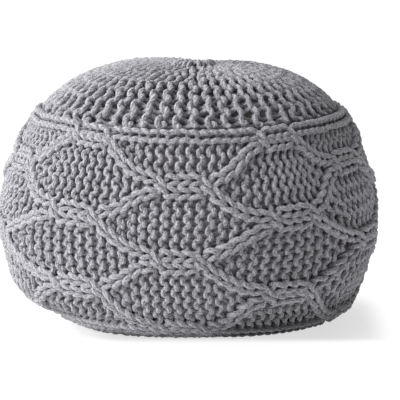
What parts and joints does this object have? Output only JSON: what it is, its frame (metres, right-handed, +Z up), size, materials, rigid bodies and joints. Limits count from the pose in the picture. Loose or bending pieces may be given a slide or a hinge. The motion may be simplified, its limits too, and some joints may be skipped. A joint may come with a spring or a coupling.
{
  "type": "knitted pouf",
  "caption": "Squashed-ball floor pouf in thick grey knitted cotton cord, with a cable-rope trellis around its side, a ring below the open crown and a gathered pole.",
  "frame": {"origin": "centre of the flat foot, at floor level", "axes": "+Z up, from the foot to the gathered pole; -Y towards the side that is seen from the front"},
  "size_m": [0.5193, 0.5061, 0.3578],
  "materials": {
    "cotton_cord": "matte soft-spun multi-strand cotton cord, light grey"
  },
  "bodies": {
    "root": {"knitted_pouf": "cotton_cord"}
  },
  "joints": []
}
